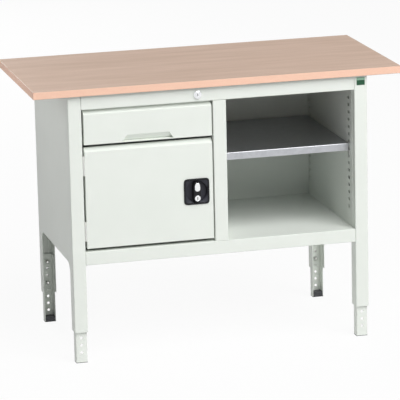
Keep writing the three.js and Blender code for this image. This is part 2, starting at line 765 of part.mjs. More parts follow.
function hingePin() {
  const top = HINGE_HEIGHT + SEAT_GAP;
  return joined(
    upright(PIN_RADIUS, [0, top + PIN_HEAD]),
    upright(KNUCKLE_RADIUS, [top, top + PIN_HEAD]),
  );
}
const knuckleEnd = HINGE_HEIGHT / 3;
const outerKnuckles = [
  [0, knuckleEnd - SEAT_GAP],
  [2 * knuckleEnd + SEAT_GAP, HINGE_HEIGHT],
];
const hingeX = -flangeX + HINGE_GAP / 2;
const hingeY = frontY + KNUCKLE_RADIUS;
const hingePlaces = [
  ["lower", doorBottom + HINGE_INSET],
  ["upper", doorTop - HINGE_INSET - HINGE_HEIGHT],
];
for (const [place, z] of hingePlaces) {
  const hinge = groupAt(bench, hingeX, hingeY, z);
  add(hinge, `hinge_frame_leaf_${place}`, hingeLeaf(-1, outerKnuckles), zincPlate);
  add(hinge, `hinge_door_leaf_${place}`, hingeLeaf(1, [[knuckleEnd, 2 * knuckleEnd]]), zincPlate);
  add(hinge, `hinge_pin_${place}`, hingePin(), zincPlate);
}

// Door handle, built about the spindle, with y counted from the door's face
const handle = groupAt(door, handleX, 0, handleZ);
const plateShape = roundedRectangle(PLATE_WIDTH, PLATE_HEIGHT, PLATE_CORNER);
const handlePlate = cut(
  joined(
    alongY(plateShape, [-PLATE_PROUD, -SEAT_GAP]),
    bar(CUP_RADIUS, [-PLATE_PROUD, CUP_DEPTH], 0, 0, FINE_SIDES),
  ),
  bar(CUP_RADIUS - CUP_WALL, [-PLATE_PROUD - OVERCUT, CUP_DEPTH - CUP_WALL], 0, 0, FINE_SIDES),
  bar(SPINDLE_RADIUS + HOLE_PLAY, [0, CUP_DEPTH + OVERCUT]),
);
add(handle, "handle_plate", handlePlate, blackPlastic);

const gripFace = -PLATE_PROUD - GRIP_PROUD;
const plugFloor = gripFace + DOOR_PLUG_DEPTH;
const spindleEnd = latchFront - SEAT_GAP;
const latchScrewTip = spindleEnd - LATCH_SCREW_GRIP;
const latchBore = LATCH_SCREW_RADIUS + HOLE_PLAY;
const gripShape = roundedRectangle(GRIP_WIDTH, GRIP_LENGTH, GRIP_WIDTH / 2 - SEAT_GAP);
const handleGrip = cut(
  joined(
    alongY(gripShape, [gripFace, GRIP_SINK]),
    bar(HUB_RADIUS, [GRIP_SINK - OVERCUT, CUP_DEPTH - CUP_WALL - SEAT_GAP]),
    bar(SPINDLE_RADIUS, [GRIP_SINK, spindleEnd]),
  ),
  bar(DOOR_PLUG_RADIUS + PLUG_PLAY, [gripFace - OVERCUT, plugFloor], 0, -DOOR_PLUG_DROP),
  bar(latchBore, [latchScrewTip - SEAT_GAP, spindleEnd + OVERCUT], 0, 0, PIN_SIDES),
);
add(handle, "handle_grip", handleGrip, blackPlastic);

const padShape = roundedRectangle(PAD_WIDTH, PAD_LENGTH, PAD_WIDTH / 2 - SEAT_GAP, PAD_RISE);
const padBack = gripFace - SEAT_GAP;
add(handle, "handle_thumb_pad", alongY(padShape, [padBack - PAD_THICKNESS, padBack]), chrome);

// A lock plug along Y with an upright keyway in its face
function lockPlug(radius, [y0, y1]) {
  const keyway = block(
    [-KEYWAY_WIDTH / 2, KEYWAY_WIDTH / 2],
    [y0 - OVERCUT, y0 + KEYWAY_DEPTH],
    [-radius / 2, radius / 2],
  );
  return cut(bar(radius, [y0, y1]), keyway);
}
const doorPlug = groupAt(handle, 0, 0, -DOOR_PLUG_DROP);
const doorPlugSpan = [gripFace - PLUG_PROUD, plugFloor - SEAT_GAP];
add(doorPlug, "door_lock_plug", lockPlug(DOOR_PLUG_RADIUS, doorPlugSpan), chrome);

const latchShape = outline([
  [-LATCH_WIDTH / 2, -LATCH_WIDTH / 2],
  [LATCH_WIDTH / 2, -LATCH_WIDTH / 2],
  [LATCH_WIDTH / 2, latchReach],
  [-LATCH_WIDTH / 2, latchReach],
]);
const latchHole = bar(latchBore, [latchFront - OVERCUT, latchBack + OVERCUT], 0, 0, PIN_SIDES);
add(handle, "latch_cam", cut(alongY(latchShape, [latchFront, latchBack]), latchHole), zincPlate);

const screwSeat = latchBack + SEAT_GAP;
const latchScrew = joined(
  bar(LATCH_SCREW_HEAD, [screwSeat, screwSeat + LATCH_SCREW_HEIGHT], 0, 0, NUT_SIDES),
  bar(LATCH_SCREW_RADIUS, [latchScrewTip, screwSeat + OVERCUT], 0, 0, PIN_SIDES),
);
add(handle, "latch_screw", latchScrew, zincPlate);

// Drawer lock in the top rail: its cam lies to the right when open and drops behind the drawer front
const drawerLock = groupAt(bench, lockX, frontY, lockZ);
const lockBarrel = cut(
  joined(
    bar(LOCK_FLANGE_RADIUS, [-LOCK_FLANGE - SEAT_GAP, -SEAT_GAP]),
    bar(BARREL_RADIUS, [-LOCK_FLANGE, BARREL_DEPTH - SEAT_GAP]),
  ),
  bar(TOP_PLUG_RADIUS + PLUG_PLAY, [-LOCK_FLANGE - OVERCUT, BARREL_DEPTH + OVERCUT]),
);
add(drawerLock, "top_lock_barrel", lockBarrel, chrome);
const topPlugSpan = [-LOCK_FLANGE - PLUG_PROUD, BARREL_DEPTH];
add(drawerLock, "top_lock_plug", lockPlug(TOP_PLUG_RADIUS, topPlugSpan), chrome);
const lockCam = block(
  [-LOCK_CAM_WIDTH / 2, lockCamReach],
  [lockCamFront, lockCamBack],
  [-LOCK_CAM_WIDTH / 2, LOCK_CAM_WIDTH / 2],
);
add(drawerLock, "top_lock_cam", lockCam, zincPlate);

// Blank plate on the right leg, under the worktop
const badgeShape = roundedRectangle(BADGE_WIDTH, BADGE_HEIGHT, BADGE_SHEET);
const badge = alongY(badgeShape, [-SEAT_GAP - BADGE_SHEET, -SEAT_GAP]);
add(groupAt(bench, legX, frontY, underside - BADGE_DROP), "badge_plate", badge, badgeGreen);

export default bench;
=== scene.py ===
import json
import math

import bmesh
import bpy
from mathutils import Matrix, Vector


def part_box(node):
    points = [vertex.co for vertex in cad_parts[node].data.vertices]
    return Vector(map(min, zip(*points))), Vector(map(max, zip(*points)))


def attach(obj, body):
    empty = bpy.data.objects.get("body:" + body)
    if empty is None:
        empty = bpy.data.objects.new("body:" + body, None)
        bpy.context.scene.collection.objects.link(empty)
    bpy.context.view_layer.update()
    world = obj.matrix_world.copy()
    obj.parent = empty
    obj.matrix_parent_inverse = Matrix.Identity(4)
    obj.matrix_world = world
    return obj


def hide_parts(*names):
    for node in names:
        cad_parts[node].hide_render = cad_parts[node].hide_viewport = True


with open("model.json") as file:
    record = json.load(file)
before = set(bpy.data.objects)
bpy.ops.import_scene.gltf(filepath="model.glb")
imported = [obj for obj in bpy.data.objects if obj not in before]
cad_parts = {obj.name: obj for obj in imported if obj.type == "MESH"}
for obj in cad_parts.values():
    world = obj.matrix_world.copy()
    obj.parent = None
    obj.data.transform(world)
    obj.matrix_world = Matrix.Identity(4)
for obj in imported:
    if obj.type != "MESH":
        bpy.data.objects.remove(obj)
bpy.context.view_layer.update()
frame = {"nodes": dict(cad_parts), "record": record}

# End frames: the two sides of the bench. Each is cut from one 2 mm steel sheet and folded on a press
# brake into a panel with a channel leg along its front and rear edge, then powder coated light grey.
MM = 0.001
FRAME_SHEET = 2 * MM
FRAME_BEND = 3.2 * MM
CUT_EDGE = 0.25 * MM
CREASE = math.radians(25)
FLAT = math.radians(0.5)
WELD = 0.001 * MM
BEND_STEPS = 3
# A face narrower than this many sheets is a cut edge, and a bend takes at most this share of a face.
CUT_FACE = 1.5
BEND_SHARE = 0.42


class Wire:
    """A socket in a node tree: arithmetic on wires adds Math nodes, and node() adds any other node."""

    def __init__(self, tree, socket=None):
        self.tree = tree
        self.socket = socket

    def node(self, kind, settings, sockets, output=0):
        """Adds a node, with its settings and then its sockets' values or links, and gives an output of it."""
        made = self.tree.nodes.new(kind)
        for name, value in settings.items():
            setattr(made, name, value)
        for name, value in sockets.items():
            for item in value if isinstance(value, list) else [value]:
                if isinstance(item, Wire):
                    self.tree.links.new(item.socket, made.inputs[name])
                else:
                    made.inputs[name].default_value = item
        return Wire(self.tree, None if output is None else made.outputs[output])

    def calc(self, operation, *terms):
        """Adds a Math node."""
        return self.node("ShaderNodeMath", {"operation": operation}, dict(enumerate(terms)))

    def __add__(self, other):
        return self.calc("ADD", self, other)

    def __sub__(self, other):
        return self.calc("SUBTRACT", self, other)

    def __rsub__(self, other):
        return self.calc("SUBTRACT", other, self)

    def __mul__(self, other):
        return self.calc("MULTIPLY", self, other)

    __radd__ = __add__
    __rmul__ = __mul__


def colour(red, green, blue):
    """A colour as it is read on a colour card, 0 to 255, in the linear values that shaders take."""
    card = [value / 255 for value in (red, green, blue)]
    linear = [v / 12.92 if v < 0.04045 else ((v + 0.055) / 1.055) ** 2.4 for v in card]
    return (*linear, 1.0)


def blend(wire, share, first, second):
    """The first colour where the share is 0, the second where it is 1."""
    return wire.node("ShaderNodeMix", {"data_type": "RGBA"}, {0: share, 6: first, 7: second}, 2)


def noise(wire, place, scale, detail=2.0, stretch=(1, 1, 1)):
    """Soft noise over the surface, 0 to 1, with this many cells to a metre."""
    spread = wire.node("ShaderNodeMapping", {}, {"Vector": place, "Scale": stretch})
    return wire.node("ShaderNodeTexNoise", {}, {"Vector": spread, "Scale": scale, "Detail": detail})


def finish(name, surface):
    """A material with the shader that surface() wires up from the place on the piece."""
    material = bpy.data.materials.new(name)
    material.use_nodes = True
    material.node_tree.nodes.clear()
    wire = Wire(material.node_tree)
    place = wire.node("ShaderNodeTexCoord", {}, {}, "Object")
    wire.node("ShaderNodeOutputMaterial", {}, {"Surface": surface(wire, place)}, None)
    return material


def shader(wire, tone, roughness, height, depth, fixed=None):
    """A surface of this tone and roughness with a relief; fixed sets the sockets that are alike all over."""
    relief = wire.node("ShaderNodeBump", {}, {"Height": height, "Distance": depth})
    sockets = {"Base Color": tone, "Roughness": roughness, "Normal": relief, **(fixed or {})}
    return wire.node("ShaderNodeBsdfPrincipled", {}, sockets)


COAT = colour(238, 242, 236)
COAT_DULL = colour(231, 236, 229)
COAT_PEEL = 0.04 * MM
SOFT_SHINE = {"Specular IOR Level": 0.25}


def powder_coat_surface(wire, place):
    cloud = noise(wire, place, scale=7, detail=3)
    peel = noise(wire, place, scale=420, detail=1)
    grit = noise(wire, place, scale=1900, detail=0)
    tone = blend(wire, cloud, COAT, COAT_DULL)
    return shader(wire, tone, 0.36 + 0.14 * peel, peel + 0.3 * grit, COAT_PEEL, SOFT_SHINE)


powder_coat = finish("light_grey_coat", powder_coat_surface)

body_of = {node: body for body, nodes in frame["record"]["behaviour"]["bodies"].items() for node in nodes}


def blank_of(solid):
    """A solid's shape as clean faces, free to be worked on."""
    shape = bmesh.new()
    shape.from_mesh(solid.data)
    bmesh.ops.remove_doubles(shape, verts=shape.verts, dist=WELD)
    bmesh.ops.dissolve_limit(shape, angle_limit=FLAT, verts=shape.verts, edges=shape.edges)
    bmesh.ops.connect_verts_concave(shape, faces=shape.faces)
    return shape


def piece_of(name, shape, *finishes):
    """An object of this shape, smooth but for its creases."""
    mesh = bpy.data.meshes.new(name)
    shape.to_mesh(mesh)
    shape.free()
    mesh.polygons.foreach_set("use_smooth", [True] * len(mesh.polygons))
    mesh.set_sharp_from_angle(angle=CREASE)
    for coat in finishes:
        mesh.materials.append(coat)
    piece = bpy.data.objects.new(name, mesh)
    bpy.context.scene.collection.objects.link(piece)
    return piece


def settle(piece):
    """Works the piece's modifiers into a plain mesh."""
    graph = bpy.context.evaluated_depsgraph_get()
    worked = piece.evaluated_get(graph)
    mesh = bpy.data.meshes.new_from_object(worked, preserve_all_data_layers=True, depsgraph=graph)
    piece.modifiers.clear()
    piece.data = mesh


def room_beside(edge):
    """How far the narrower face at an edge reaches from it."""
    start, end = (vert.co for vert in edge.verts)
    along = (end - start).normalized()
    return min(max((vert.co - start).cross(along).length for vert in face.verts) for face in edge.link_faces)


def rolled(name, shape, sheet, bend, *finishes):
    """A piece of sheet with its folds rolled to the bend's radius and its cut edges eased."""
    weight = shape.edges.layers.float.new("bevel_weight_edge")
    for edge in shape.edges:
        if edge.calc_face_angle() < CREASE:
            continue
        room = room_beside(edge)
        radius = bend if edge.is_convex else max(bend - sheet, CUT_EDGE)
        if room < CUT_FACE * sheet:
            radius = CUT_EDGE
        edge[weight] = min(radius, BEND_SHARE * room) / bend
    piece = piece_of(name, shape, *finishes)
    rolling = piece.modifiers.new("rolled edges", "BEVEL")
    rolling.limit_method = "WEIGHT"
    rolling.width = bend
    rolling.segments = BEND_STEPS
    rolling.use_clamp_overlap = False
    rolling.harden_normals = True
    settle(piece)
    return piece


def fit(piece, *nodes):
    """Sets the piece in the place of these nodes of the frame."""
    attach(piece, body_of[nodes[0]])
    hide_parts(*nodes)


def folded(node, sheet, bend, coat):
    """The node's own shape, with its folds rolled and its edges eased as they are on the real piece."""
    piece = rolled(f"{node}_sheet", blank_of(frame["nodes"][node]), sheet, bend, coat)
    fit(piece, node)


for side in ("left", "right"):
    folded(f"end_frame_{side}", FRAME_SHEET, FRAME_BEND, powder_coat)

# Lower legs: perforated steel channels that slide in the end frames' legs to set the bench's height.
# Their round holes are punched through the web before folding, and they are coated like the frames.
LEG_SHEET = 2 * MM
LEG_BEND = 3 * MM
LEG_HOLE = 9 * MM
LEG_HOLE_PITCH = 25 * MM
LEG_HOLE_COUNT = 8
LEG_FIRST_HOLE = 36 * MM
CORNER_STEPS = 6
# The length of a punch, in thicknesses of the sheet.
PUNCH_SHEETS = 4
ROW_INPUTS = {
    "First": "NodeSocketVector",
    "Step": "NodeSocketVector",
    "Columns": "NodeSocketInt",
    "Across": "NodeSocketVector",
    "Rows": "NodeSocketInt",
}
CORNERS = ("front_left", "front_right", "rear_left", "rear_right")


def new_tree(name, inputs):
    """A Geometry Nodes tree that works on a blank, with named inputs for its sizes."""
    tree = bpy.data.node_groups.new(name, "GeometryNodeTree")
    for label, kind in {"Blank": "NodeSocketGeometry", **inputs}.items():
        tree.interface.new_socket(label, in_out="INPUT", socket_type=kind)
    tree.interface.new_socket("Piece", in_out="OUTPUT", socket_type="NodeSocketGeometry")
    return tree


def given(wire, label):
    """One of the tree's named inputs."""
    return wire.node("NodeGroupInput", {}, {}, label)


def spots(wire):
    """Points set out in rows: from the first in steps along a row, and across from row to row."""
    index = wire.node("GeometryNodeInputIndex", {}, {})
    columns = given(wire, "Columns")
    column = wire.calc("MODULO", index, columns)
    row = wire.calc("FLOOR", wire.calc("DIVIDE", index, columns))
    step = {"operation": "MULTIPLY_ADD"}
    first = given(wire, "First")
    along = wire.node("ShaderNodeVectorMath", step, {0: given(wire, "Step"), 1: column, 2: first})
    place = wire.node("ShaderNodeVectorMath", step, {0: given(wire, "Across"), 1: row, 2: along})
    return wire.node("GeometryNodePoints", {}, {"Count": columns * given(wire, "Rows"), "Position": place})


def run(tree, piece, sizes):
    """Runs a tree on the piece with these sizes and settles the result."""
    modifier = piece.modifiers.new(tree.name, "NODES")
    modifier.node_group = tree
    for item in tree.interface.items_tree:
        if item.name in sizes:
            modifier[item.identifier] = sizes[item.name]
    settle(piece)


punching = new_tree(
    "punched holes",
    {
        "Width": "NodeSocketFloat",
        "Height": "NodeSocketFloat",
        "Corner": "NodeSocketFloat",
        "Through": "NodeSocketVector",
        "Finish": "NodeSocketMaterial",
        **ROW_INPUTS,
    },
)
press = Wire(punching)
hole_shape = press.node(
    "GeometryNodeFilletCurve",
    {"mode": "POLY"},
    {
        "Curve": press.node(
            "GeometryNodeCurvePrimitiveQuadrilateral",
            {},
            {"Width": given(press, "Width"), "Height": given(press, "Height")},
        ),
        "Count": CORNER_STEPS,
        "Radius": given(press, "Corner"),
        "Limit Radius": True,
    },
)
stroke_start, stroke_end = (
    press.node("ShaderNodeVectorMath", {"operation": "SCALE"}, {0: given(press, "Through"), "Scale": share})
    for share in (-0.5, 0.5)
)
stroke = press.node("GeometryNodeCurvePrimitiveLine", {}, {"Start": stroke_start, "End": stroke_end})
punch = press.node(
    "GeometryNodeCurveToMesh", {}, {"Curve": stroke, "Profile Curve": hole_shape, "Fill Caps": True}
)
punches = press.node("GeometryNodeInstanceOnPoints", {}, {"Points": spots(press), "Instance": punch})
punched = press.node(
    "GeometryNodeMeshBoolean",
    {"operation": "DIFFERENCE", "solver": "EXACT"},
    {
        "Mesh 1": given(press, "Blank"),
        "Mesh 2": press.node("GeometryNodeRealizeInstances", {}, {"Geometry": punches}),
    },
)
coated = press.node(
    "GeometryNodeSetMaterial",
    {},
    {
        "Geometry": press.node("GeometryNodeRealizeInstances", {}, {"Geometry": punched}),
        "Material": given(press, "Finish"),
    },
)
press.node("NodeGroupOutput", {}, {"Piece": coated}, None)


def prism(points, direction):
    """A flat outline drawn out along a direction."""
    shape = bmesh.new()
    face = shape.faces.new([shape.verts.new(point) for point in points])
    drawn = bmesh.ops.extrude_face_region(shape, geom=[face], use_keep_orig=True)
    far = [item for item in drawn["geom"] if isinstance(item, bmesh.types.BMVert)]
    bmesh.ops.translate(shape, verts=far, vec=direction)
    bmesh.ops.recalc_face_normals(shape, faces=shape.faces)
    return shape


for corner in CORNERS:
    low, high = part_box(f"lower_leg_{corner}")
    front = corner.startswith("front")
    web, open_side = (low.y, high.y) if front else (high.y, low.y)
    inside = web + LEG_SHEET if front else web - LEG_SHEET
    channel = [
        (low.x, open_side),
        (low.x, web),
        (high.x, web),
        (high.x, open_side),
        (high.x - LEG_SHEET, open_side),
        (high.x - LEG_SHEET, inside),
        (low.x + LEG_SHEET, inside),
        (low.x + LEG_SHEET, open_side),
    ]
    blank = piece_of("leg_blank", prism([(x, y, low.z) for x, y in channel], (0, 0, high.z - low.z)))
    run(
        punching,
        blank,
        {
            "Width": LEG_HOLE,
            "Height": LEG_HOLE,
            "Corner": LEG_HOLE / 2,
            "Through": (0, PUNCH_SHEETS * LEG_SHEET, 0),
            "Finish": powder_coat,
            "First": ((low.x + high.x) / 2, (web + inside) / 2, LEG_FIRST_HOLE),
            "Step": (0, 0, LEG_HOLE_PITCH),
            "Columns": LEG_HOLE_COUNT,
            "Rows": 1,
        },
    )
    leg = rolled(f"lower_leg_{corner}_channel", blank_of(blank), LEG_SHEET, LEG_BEND, powder_coat)
    bpy.data.objects.remove(blank)
    fit(leg, f"lower_leg_{corner}")

# Feet: charcoal plastic plugs moulded to fill the end of each lower leg, pressed in by hand, with a thin
# sole that the leg stands on.
FOOT_WALL = 2 * MM
FOOT_EDGE = 0.8 * MM
CHARCOAL = colour(62, 63, 66)
CHARCOAL_WORN = colour(92, 93, 96)
SPARK_DEPTH = 0.03 * MM


def moulded(name, fresh, worn):
    """A plastic with the fine sparked texture of its mould."""

    def surface(wire, place):
        cloud = noise(wire, place, scale=60, detail=3)
        spark = noise(wire, place, scale=1500, detail=1)
        tone = blend(wire, cloud, fresh, worn)
        return shader(wire, tone, 0.42 + 0.16 * spark, spark, SPARK_DEPTH, SOFT_SHINE)

    return finish(name, surface)


charcoal_plastic = moulded("moulded_charcoal", CHARCOAL, CHARCOAL_WORN)

for corner in CORNERS:
    folded(f"foot_{corner}", FOOT_WALL, FOOT_EDGE, charcoal_plastic)

# Leg clamps: zinc plated plates caught behind two lips inside each frame leg. Two welded studs come
# through the lower leg's holes, and a hexagon nut on each clamps the leg at its height.
CLAMP_PLATE = 2.4 * MM
CLAMP_EDGE = 0.5 * MM
STUD_RADIUS = 4 * MM
STUD_PITCH = 1.25 * MM
STUD_LENGTH = 17 * MM
STUD_SPACING = 75 * MM
STUD_INSET = 12 * MM
STUD_COUNT = 2
NUT_RADIUS = 7.5 * MM
NUT_HEIGHT = 6.5 * MM
NUT_GAP = 7.6 * MM
NUT_CHAMFER = 0.9 * MM
# In shares of the stud's and the nut's radius.
STUD_ROOT = 0.86
STUD_TIP = 0.8
NUT_FOOT = 0.9
NUT_CROWN = 0.86
ROUND_SIDES = 48
ZINC = colour(222, 224, 227)
ZINC_WARM = colour(225, 223, 214)
BARE_METAL = {"Metallic": 1.0}


def metal(name, bright, dull, clouds, grains, grain_depth, smooth, spread):
    """A bare or plated metal, clouded in tone and grained in its sheen, in clouds and grains to a metre."""

    def surface(wire, place):
        cloud = noise(wire, place, scale=clouds, detail=3)
        grain = noise(wire, place, scale=grains, detail=2)
        tone = blend(wire, cloud, bright, dull)
        return shader(wire, tone, smooth + spread * grain, grain, grain_depth, BARE_METAL)

    return finish(name, surface)


zinc = metal(
    "zinc_plating",
    ZINC,
    ZINC_WARM,
    clouds=35,
    grains=260,
    grain_depth=0.02 * MM,
    smooth=0.24,
    spread=0.22,
)


def oval(half_x, half_z, along, square=2.0, sides=ROUND_SIDES):
    """A ring of points about the Y axis: an ellipse, or squarer with a higher power."""
    points = []
    for step in range(sides):
        turn = math.tau * step / sides
        c, s = math.cos(turn), math.sin(turn)
        reach = (abs(c / half_x) ** square + abs(s / half_z) ** square) ** (-1 / square)
        points.append((reach * c, along, reach * s))
    return points


def hexagon(radius, along):
    """A six-sided ring about the Y axis, measured over its corners."""
    points = []
    for step in range(ROUND_SIDES):
        turn = math.tau * step / ROUND_SIDES
        reach = radius * math.cos(math.pi / 6) / math.cos(turn % (math.pi / 3) - math.pi / 6)
        points.append((reach * math.cos(turn), along, reach * math.sin(turn)))
    return points


def lofted(rings, closed=False):
    """A skin over rings of points; a ring of one point is a pole, and closed joins the last to the first."""
    shape = bmesh.new()
    rows = [[shape.verts.new(point) for point in ring] for ring in rings]
    sides = max(len(row) for row in rows)
    for near, far in zip(rows, rows[1:] + (rows[:1] if closed else [])):
        for i in range(sides):
            j = (i + 1) % sides
            face = [near[i % len(near)], near[j % len(near)], far[j % len(far)], far[i % len(far)]]
            shape.faces.new(list(dict.fromkeys(face)))
    bmesh.ops.recalc_face_normals(shape, faces=shape.faces)
    return shape


def turned(profile):
    """Rings for a turned profile of radius and place along the axis, closed with a pole at both ends."""
    rings = [oval(radius, radius, along) for radius, along in profile]
    return [[(0, profile[0][1], 0)], *rings, [(0, profile[-1][1], 0)]]


fastening = new_tree(
    "rows of fasteners",
    {"Fastener": "NodeSocketObject", "Finish": "NodeSocketMaterial", **ROW_INPUTS},
)
driver = Wire(fastening)
fastener = driver.node("GeometryNodeObjectInfo", {}, {"Object": given(driver, "Fastener")}, "Geometry")
fasteners = driver.node("GeometryNodeInstanceOnPoints", {}, {"Points": spots(driver), "Instance": fastener})
driven = driver.node("GeometryNodeJoinGeometry", {}, {"Geometry": [given(driver, "Blank"), fasteners]})
plated = driver.node(
    "GeometryNodeSetMaterial",
    {},
    {
        "Geometry": driver.node("GeometryNodeRealizeInstances", {}, {"Geometry": driven}),
        "Material": given(driver, "Finish"),
    },
)
driver.node("NodeGroupOutput", {}, {"Piece": plated}, None)

stud_profile = [(STUD_RADIUS, 0.0), (STUD_RADIUS, NUT_GAP)]
thread = NUT_GAP
while thread + STUD_PITCH < STUD_LENGTH:
    stud_profile += [
        (STUD_ROOT * STUD_RADIUS, thread + STUD_PITCH / 2),
        (STUD_RADIUS, thread + STUD_PITCH),
    ]
    thread += STUD_PITCH
stud_profile.append((STUD_TIP * STUD_RADIUS, STUD_LENGTH))
nut_top = NUT_GAP + NUT_HEIGHT
nut_rings = [
    oval(NUT_RADIUS * NUT_FOOT, NUT_RADIUS * NUT_FOOT, NUT_GAP),
    hexagon(NUT_RADIUS, NUT_GAP + NUT_CHAMFER),
    hexagon(NUT_RADIUS, nut_top - NUT_CHAMFER),
    oval(NUT_RADIUS * NUT_CROWN, NUT_RADIUS * NUT_CROWN, nut_top),
]

for corner in CORNERS:
    low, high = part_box(f"leg_clamp_{corner}")
    front = corner.startswith("front")
    inward = 1 if front else -1
    back = low.y if front else high.y
    middle = (low.x + high.x) / 2
    plate_outline = [(low.x, low.z), (high.x, low.z), (high.x, high.z), (low.x, high.z)]
    blank = prism([(x, back, z) for x, z in plate_outline], (0, inward * CLAMP_PLATE, 0))
    clamp = rolled(f"leg_clamp_{corner}_plate", blank, CUT_EDGE, CLAMP_EDGE, zinc)
    stud = lofted(turned(stud_profile))
    nut = lofted(nut_rings, closed=True)
    loose = bpy.data.meshes.new("nut")
    nut.to_mesh(loose)
    nut.free()
    stud.from_mesh(loose)
    bpy.data.meshes.remove(loose)
    bmesh.ops.scale(stud, vec=(1, inward, 1), verts=stud.verts)
    bmesh.ops.recalc_face_normals(stud, faces=stud.faces)
    sample = piece_of(f"stud_{corner}", stud, zinc)
    run(
        fastening,
        clamp,
        {
            "Fastener": sample,
            "Finish": zinc,
            "First": (middle, back, low.z + STUD_INSET),
            "Step": (0, 0, STUD_SPACING),
            "Columns": STUD_COUNT,
            "Rows": 1,
        },
    )
    bpy.data.objects.remove(sample)
    fit(clamp, f"leg_clamp_{corner}")

# Top rails: two folded channels of coated 1.5 mm steel between the end frames, which carry the worktop on
# their flanges. The front one shows above the drawer and holds its lock.
CABINET_SHEET = 1.5 * MM
CABINET_BEND = 2.4 * MM

folded("front_top_rail", CABINET_SHEET, CABINET_BEND, powder_coat)
folded("rear_top_rail", CABINET_SHEET, CABINET_BEND, powder_coat)

# Base pan: the cabinet's floor, an upturned tray of 1.5 mm steel whose deep front lip shows under the
# door, with its corners welded and ground before it is coated.
folded("base_pan", CABINET_SHEET, CABINET_BEND, powder_coat)

# Back panel: the cabinet's rear wall, a coated 1.5 mm steel sheet. All four edges are folded back, to
# stiffen it and to fix it between the rear legs and rails.
folded("back_panel", CABINET_SHEET, CABINET_BEND, powder_coat)

# Side liners: the cabinet's end walls, flat coated steel sheets inside the end frames, punched with two
# columns of slots for the shelf's clips before they are coated.
SLOT_LENGTH = 18 * MM
SLOT_HEIGHT = 9 * MM
SLOT_CORNER = 1.2 * MM
SLOT_PITCH = 25 * MM
SLOT_ROWS = 16
SLOT_FIRST = 445 * MM
SLOT_COLUMNS = (-225 * MM, 237 * MM)

for side in ("left", "right"):
    low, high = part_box(f"side_liner_{side}")
    liner_outline = [(low.y, low.z), (high.y, low.z), (high.y, high.z), (low.y, high.z)]
    liner_points = [(low.x, y, z) for y, z in liner_outline]
    blank = piece_of("liner_blank", prism(liner_points, (high.x - low.x, 0, 0)))
    run(
        punching,
        blank,
        {
            "Width": SLOT_LENGTH,
            "Height": SLOT_HEIGHT,
            "Corner": SLOT_CORNER,
            "Through": (PUNCH_SHEETS * CABINET_SHEET, 0, 0),
            "Finish": powder_coat,
            "First": ((low.x + high.x) / 2, SLOT_COLUMNS[0], SLOT_FIRST),
            "Step": (0, 0, SLOT_PITCH),
            "Columns": SLOT_ROWS,
            "Across": (0, SLOT_COLUMNS[1] - SLOT_COLUMNS[0], 0),
            "Rows": len(SLOT_COLUMNS),
        },
    )
    liner = rolled(f"side_liner_{side}_sheet", blank_of(blank), CABINET_SHEET, CABINET_BEND, powder_coat)
    bpy.data.objects.remove(blank)
    fit(liner, f"side_liner_{side}")

# Centre partition: one coated steel sheet folded round the face of the post between door and bay, punched
# with the same slots and with a longer one that the door's latch swings into.
folded("centre_partition", CABINET_SHEET, CABINET_BEND, powder_coat)

# Shelf clips: small angles pressed from steel and zinc plated. Each is hooked through a slot by hand, with
# a ledge that the shelf lies on.
CLIP_BEND = 1.8 * MM

for corner in CORNERS:
    folded(f"shelf_clip_{corner}", CABINET_SHEET, CLIP_BEND, zinc)

# Shelf: a tray of galvanised steel sheet, left uncoated, with its four lips folded down to stiffen it. It
# lies loose on its clips.
SPANGLE = colour(180, 182, 186)
SPANGLE_BRIGHT = colour(190, 192, 196)
SPANGLES = 95.0
SPANGLE_DEPTH = 0.005 * MM


def galvanised_surface(wire, place):
    crystals = wire.node("ShaderNodeTexVoronoi", {}, {"Vector": place, "Scale": SPANGLES}, "Color")
    spangle = wire.node("ShaderNodeSeparateColor", {}, {"Color": crystals})
    smear = noise(wire, place, scale=30, detail=3)
    tone = blend(wire, spangle, SPANGLE, SPANGLE_BRIGHT)
    roughness = 0.28 + 0.06 * spangle + 0.1 * smear
    return shader(wire, tone, roughness, spangle + smear, SPANGLE_DEPTH, BARE_METAL)


galvanised = finish("galvanised_sheet", galvanised_surface)
folded("mid_shelf", CABINET_SHEET, CABINET_BEND, galvanised)

# Drawer runners: three zinc plated channels a side, one within the other, so that the drawer comes out
# in full; the outer is screwed to the cabinet and the inner to the drawer box.
RUNNER_SHEET = 1.2 * MM
RUNNER_BEND = 1.6 * MM

for member in ("outer", "middle", "inner"):
    for side in ("left", "right"):
        folded(f"runner_{member}_{side}", RUNNER_SHEET, RUNNER_BEND, zinc)

# Drawer: an open box of coated steel sheet behind a front pan, which has a bevelled top edge and a pull
# pressed into its lower edge as a pocket that slopes back to a lip for the fingers.
FRONT_BEND = 1.3 * MM

folded("drawer_box", CABINET_SHEET, CABINET_BEND, powder_coat)
folded("drawer_front", CABINET_SHEET, FRONT_BEND, powder_coat)

# Door: a pan of coated 1.5 mm steel with the same bevelled top edge as the drawer, and a hat section spot
# welded down the middle of its inside.
folded("door_panel", CABINET_SHEET, FRONT_BEND, powder_coat)
folded("door_stiffener", CABINET_SHEET, CABINET_BEND, powder_coat)

# Hinges: rolled steel leaves, zinc plated, one fixed to the frame leg and one to the door, and joined by a
# loose pin with a head.
HINGE_SHEET = 1.2 * MM
HINGE_EDGE = 0.5 * MM

for place in ("lower", "upper"):
    folded(f"hinge_frame_leaf_{place}", HINGE_SHEET, HINGE_EDGE, zinc)
    folded(f"hinge_door_leaf_{place}", HINGE_SHEET, HINGE_EDGE, zinc)
    folded(f"hinge_pin_{place}", HINGE_EDGE, HINGE_EDGE, zinc)

# Handle plate: a moulded plastic plate with a flat black rim and a paler dish that falls from a rounded
# square into a round cup, snapped into a hole in the door.
BLACK = colour(18, 19, 22)
BLACK_WORN = colour(27, 28, 32)
DISH = colour(46, 47, 54)
DISH_WORN = colour(56, 57, 64)
RIM_WIDTH = 6.5 * MM
RIM_EDGE = 0.9 * MM
